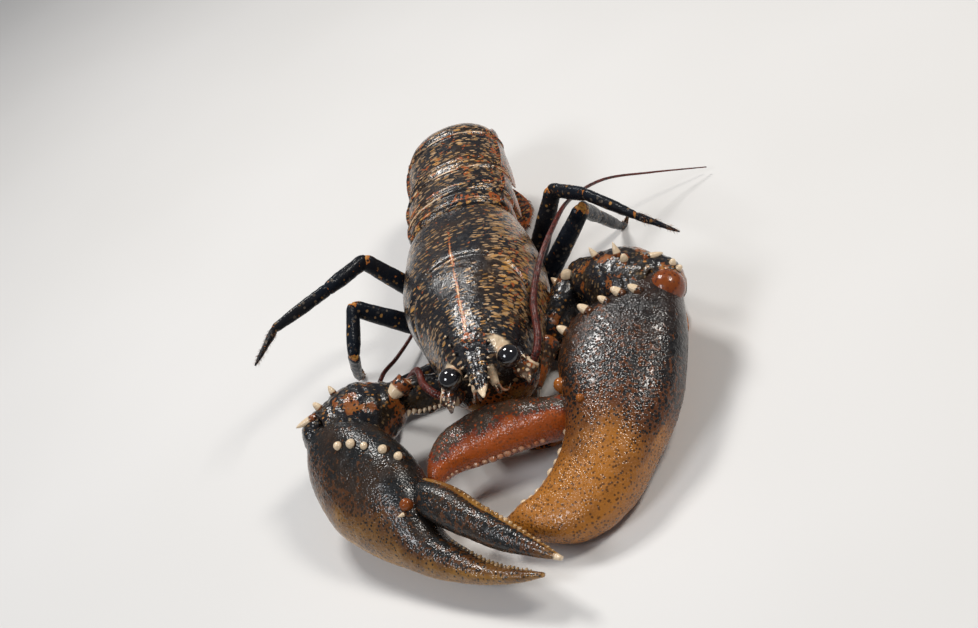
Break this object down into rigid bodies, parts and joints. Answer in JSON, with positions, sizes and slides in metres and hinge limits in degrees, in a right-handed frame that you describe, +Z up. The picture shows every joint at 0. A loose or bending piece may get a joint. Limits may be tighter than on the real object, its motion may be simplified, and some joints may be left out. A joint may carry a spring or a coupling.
{
  "type": "american lobster model",
  "caption": "Life-size american lobster, dark mottled shell with orange claws, resting with its claws crossed in front, tail curled under and long feelers swept back.",
  "frame": {"origin": "on the floor under the middle of the thorax, at the centre of the sternum's flat underside", "axes": "+Z up, the head points to -Y, the tail to +Y, and the lobster's left side is +X"},
  "size_m": [0.3368, 0.4353, 0.0959],
  "materials": {
    "dark_shell": "wet black-brown shell with tan and orange flecks",
    "fan_shell": "wet dark brown plates with a pale fringe",
    "claw_shell": "wet shell, black-brown above turning orange at the edges",
    "leg_shell": "wet blue-black with orange at the joints",
    "pale_shell": "wet cream and olive-brown shell",
    "feeler": "wet dark red-brown",
    "eye": "high gloss black"
  },
  "bodies": {
    "root": {"antenna_base_left": "pale_shell", "antenna_base_right": "pale_shell", "antenna_left": "feeler", "antenna_right": "feeler", "antenna_tip_left": "feeler", "antenna_tip_right": "feeler", "antennule_left": "feeler", "antennule_right": "feeler", "carapace": "dark_shell", "cheliped_arm_left": "dark_shell", "cheliped_arm_right": "dark_shell", "cheliped_base_left": "pale_shell", "cheliped_base_right": "pale_shell", "cheliped_carpus_left": "dark_shell", "cheliped_carpus_right": "dark_shell", "crusher_dactyl_left": "claw_shell", "crusher_palm_left": "claw_shell", "cutter_dactyl_right": "claw_shell", "cutter_palm_right": "claw_shell", "eye_left": "eye", "eye_right": "eye", "leg_foot_1_left": "leg_shell", "leg_foot_1_right": "leg_shell", "leg_foot_2_left": "leg_shell", "leg_foot_2_right": "leg_shell", "leg_foot_3_left": "leg_shell", "leg_foot_3_right": "leg_shell", "leg_foot_4_left": "leg_shell", "leg_foot_4_right": "leg_shell", "leg_middle_1_left": "leg_shell", "leg_middle_1_right": "leg_shell", "leg_middle_2_left": "leg_shell", "leg_middle_2_right": "leg_shell", "leg_middle_3_left": "leg_shell", "leg_middle_3_right": "leg_shell", "leg_middle_4_left": "leg_shell", "leg_middle_4_right": "leg_shell", "leg_upper_1_left": "leg_shell", "leg_upper_1_right": "leg_shell", "leg_upper_2_left": "leg_shell", "leg_upper_2_right": "leg_shell", "leg_upper_3_left": "leg_shell", "leg_upper_3_right": "leg_shell", "leg_upper_4_left": "leg_shell", "leg_upper_4_right": "leg_shell", "maxilliped_left": "leg_shell", "maxilliped_right": "leg_shell", "sternum": "pale_shell", "tail_segment_1": "dark_shell", "tail_segment_2": "dark_shell", "tail_segment_3": "dark_shell", "tail_segment_4": "dark_shell", "tail_segment_5": "dark_shell", "tail_segment_6": "dark_shell", "telson": "fan_shell", "uropod_inner_left": "fan_shell", "uropod_inner_right": "fan_shell", "uropod_outer_left": "fan_shell", "uropod_outer_right": "fan_shell"}
  },
  "joints": []
}
